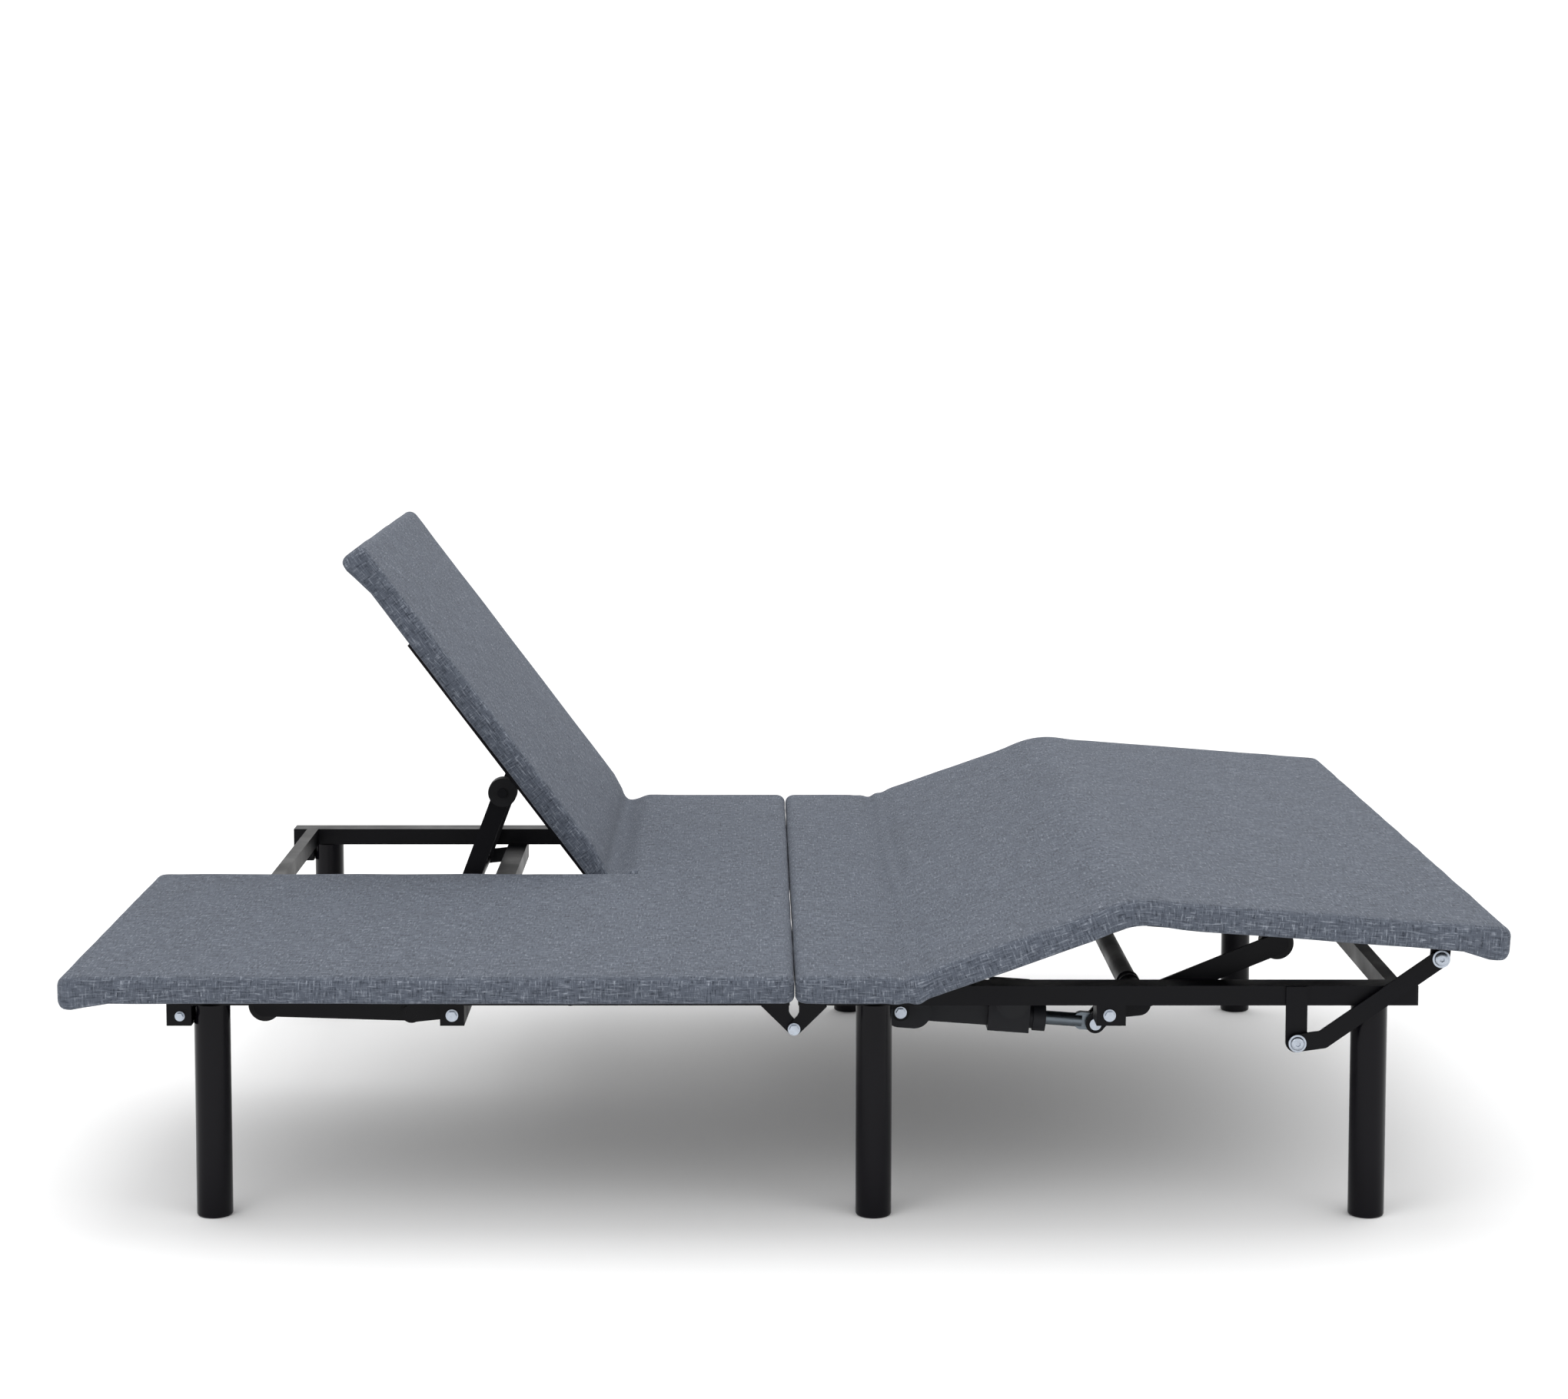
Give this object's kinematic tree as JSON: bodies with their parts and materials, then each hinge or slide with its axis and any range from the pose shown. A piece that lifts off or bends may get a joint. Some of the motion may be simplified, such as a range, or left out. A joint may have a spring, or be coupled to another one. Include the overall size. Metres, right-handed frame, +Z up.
{
  "type": "adjustable bed base",
  "caption": "Adjustable bed base with a split head, raised thigh and foot sections, lift arms on torque tubes, and round legs under a folding steel frame.",
  "frame": {"origin": "on the floor, under the middle of the bed as posed in the picture", "axes": "+X towards the foot end, +Y away from the picture's camera, +Z up"},
  "size_m": [1.9914, 1.51, 0.8976],
  "materials": {
    "deck_fabric": "woven upholstery fabric, blue-grey",
    "plywood": "plywood panel, underside covered in black dust cloth in the visual",
    "leg_paint": "gloss black paint",
    "zinc_steel": "zinc-plated bolts",
    "rod_steel": "satin steel rod",
    "wheel_plastic": "black nylon",
    "housing_plastic": "black moulded housing",
    "motor_paint": "black painted motor can",
    "cap_plastic": "black end cap",
    "frame_paint": "black powder coat"
  },
  "bodies": {
    "foot_frame": {"foot_rail_near": "frame_paint", "foot_rail_far": "frame_paint", "foot_end_tube": "frame_paint", "thigh_hinge_tube": "frame_paint", "foot_fold_tube": "frame_paint", "foot_fold_plates": "frame_paint", "foot_lift_bearings": "frame_paint", "legs_foot": "leg_paint", "legs_mid": "leg_paint", "link_brackets": "frame_paint", "link_pivot_bolts": "zinc_steel", "seat_board_foot": "plywood", "seat_cover_foot": "deck_fabric", "foot_frame_pins": "zinc_steel", "fold_bolts": "zinc_steel", "rail_end_caps": "cap_plastic", "control_box": "housing_plastic"},
    "head_frame": {"head_rail_near": "frame_paint", "head_rail_far": "frame_paint", "head_end_tube": "frame_paint", "head_hinge_tube": "frame_paint", "head_lift_tube": "frame_paint", "head_fold_tube": "frame_paint", "head_fold_plates": "frame_paint", "legs_head": "leg_paint", "seat_board_head": "plywood", "seat_cover_head": "deck_fabric", "head_frame_pins": "zinc_steel", "headboard_brackets": "frame_paint", "head_actuator_near": "housing_plastic", "head_motor_near": "motor_paint", "head_actuator_far": "housing_plastic", "head_motor_far": "motor_paint"},
    "head_deck_near": {"head_board_near": "plywood", "head_cover_near": "deck_fabric", "head_bars_near": "frame_paint"},
    "head_deck_far": {"head_board_far": "plywood", "head_cover_far": "deck_fabric", "head_bars_far": "frame_paint"},
    "head_lift_near": {"head_lifter_near": "frame_paint", "head_wheels_near": "wheel_plastic"},
    "head_lift_far": {"head_lifter_far": "frame_paint", "head_wheels_far": "wheel_plastic"},
    "head_pushrod_near": {"head_rod_near": "rod_steel"},
    "head_pushrod_far": {"head_rod_far": "rod_steel"},
    "thigh_deck": {"thigh_board": "plywood", "thigh_cover": "deck_fabric", "thigh_bars": "frame_paint"},
    "foot_deck": {"foot_board": "plywood", "foot_cover": "deck_fabric", "foot_bars": "frame_paint", "link_head_bolts": "zinc_steel"},
    "swing_links": {"link_near": "frame_paint", "link_far": "frame_paint"},
    "foot_lift": {"foot_lifter": "frame_paint", "foot_crank_pin": "zinc_steel", "foot_wheels": "wheel_plastic"},
    "foot_drive": {"foot_actuator": "housing_plastic", "foot_motor": "motor_paint"},
    "foot_pushrod": {"foot_rod": "rod_steel"}
  },
  "joints": [
    {"name": "frame_fold", "type": "hinge", "parent": "foot_frame", "child": "head_frame", "pos_m": [0.011, 0, 0.2735], "axis": [0, -1, 0], "range_deg": [0, 100]},
    {"name": "head_raise_near", "type": "hinge", "parent": "head_frame", "child": "head_deck_near", "pos_m": [-0.306, 0, 0.303], "axis": [0, 1, 0], "range_deg": [0, 60]},
    {"name": "head_raise_far", "type": "hinge", "parent": "head_frame", "child": "head_deck_far", "pos_m": [-0.306, 0, 0.303], "axis": [0, 1, 0], "range_deg": [-53, 7]},
    {"name": "head_arm_near", "type": "hinge", "parent": "head_frame", "child": "head_lift_near", "pos_m": [-0.531, 0, 0.2837], "axis": [0, 1, 0], "range_deg": [0, 123.6]},
    {"name": "head_arm_far", "type": "hinge", "parent": "head_frame", "child": "head_lift_far", "pos_m": [-0.531, 0, 0.2837], "axis": [0, 1, 0], "range_deg": [-109.2, 14.6]},
    {"name": "head_rod_slide_near", "type": "slide", "parent": "head_frame", "child": "head_pushrod_near", "axis": [-1, 0, 0], "range_m": [0, 0.0596]},
    {"name": "head_rod_slide_far", "type": "slide", "parent": "head_frame", "child": "head_pushrod_far", "axis": [-1, 0, 0], "range_m": [-0.0526, 0.0071]},
    {"name": "leg_raise", "type": "hinge", "parent": "foot_frame", "child": "thigh_deck", "pos_m": [0.18, 0, 0.303], "axis": [0, -1, 0], "range_deg": [-19.5, 8.5]},
    {"name": "knee", "type": "hinge", "parent": "thigh_deck", "child": "foot_deck", "pos_m": [0.47841, 0, 0.43095], "axis": [0, 1, 0], "range_deg": [-23.95, 10.45]},
    {"name": "link_swing", "type": "hinge", "parent": "foot_frame", "child": "swing_links", "pos_m": [0.716, 0, 0.254], "axis": [0, -1, 0], "range_deg": [-20.4, 8.9]},
    {"name": "foot_arm", "type": "hinge", "parent": "foot_frame", "child": "foot_lift", "pos_m": [0.5, 0, 0.298], "axis": [0, -1, 0], "range_deg": [-24.4, 10.65]},
    {"name": "foot_drive_tilt", "type": "hinge", "parent": "foot_frame", "child": "foot_drive", "pos_m": [0.167, 0, 0.263], "axis": [0, -1, 0], "range_deg": [-2, 4.55]},
    {"name": "foot_rod_slide", "type": "slide", "parent": "foot_drive", "child": "foot_pushrod", "axis": [0.9974, 0, -0.0714], "range_m": [-0.0221, 0.0097]}
  ],
  "couplings": [
    {"joint": "head_arm_near", "follows": "head_raise_near", "ratio": 2.056},
    {"joint": "head_arm_far", "follows": "head_raise_far", "ratio": 2.056},
    {"joint": "head_rod_slide_near", "follows": "head_raise_near", "m_per_rad": 0.05668},
    {"joint": "head_rod_slide_far", "follows": "head_raise_far", "m_per_rad": 0.05668},
    {"joint": "knee", "follows": "leg_raise", "ratio": 1.2258},
    {"joint": "link_swing", "follows": "leg_raise", "ratio": 1.042},
    {"joint": "foot_arm", "follows": "leg_raise", "ratio": 1.2475},
    {"joint": "foot_drive_tilt", "follows": "leg_raise", "ratio": -0.2319},
    {"joint": "foot_rod_slide", "follows": "leg_raise", "m_per_rad": 0.06466}
  ]
}
